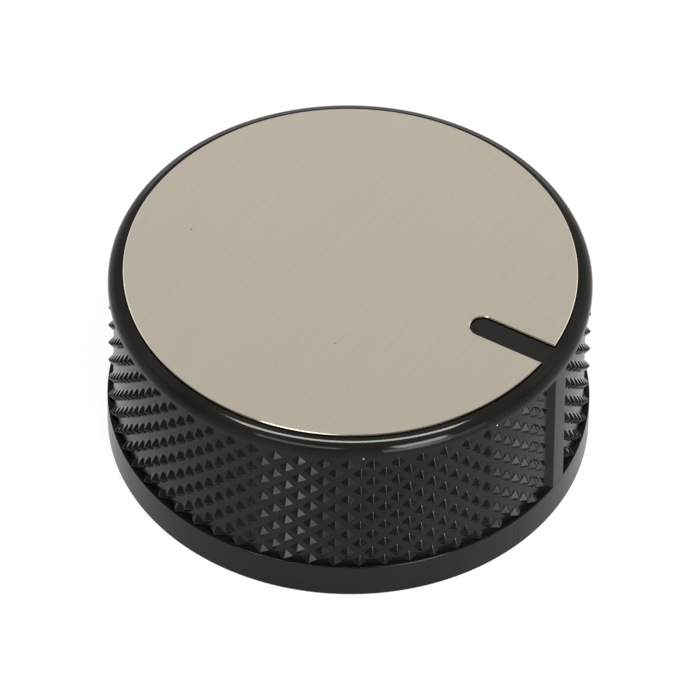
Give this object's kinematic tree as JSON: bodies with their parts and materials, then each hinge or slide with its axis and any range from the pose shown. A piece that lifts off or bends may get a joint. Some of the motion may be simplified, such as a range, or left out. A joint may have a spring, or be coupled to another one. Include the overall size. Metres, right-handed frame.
{
  "type": "control knob",
  "caption": "Round push-on control knob: black moulded body with a diamond-knurled grip, brushed metal face disc with a pointer slot, and a split hub for a D shaft.",
  "frame": {"origin": "on the shaft axis, in the plane of the base ring", "axes": "+Z along the shaft axis, out of the knob's face; +X along the pointer"},
  "size_m": [0.0452, 0.0452, 0.02],
  "materials": {
    "black_plastic": "satin moulded black",
    "brushed_disc": "straight fine brushing across the pointer, clear coated",
    "spring_steel": "plain rolled strip"
  },
  "bodies": {
    "root": {"knob_body": "black_plastic", "top_disc": "brushed_disc", "hub_spring_ring": "spring_steel"}
  },
  "joints": []
}
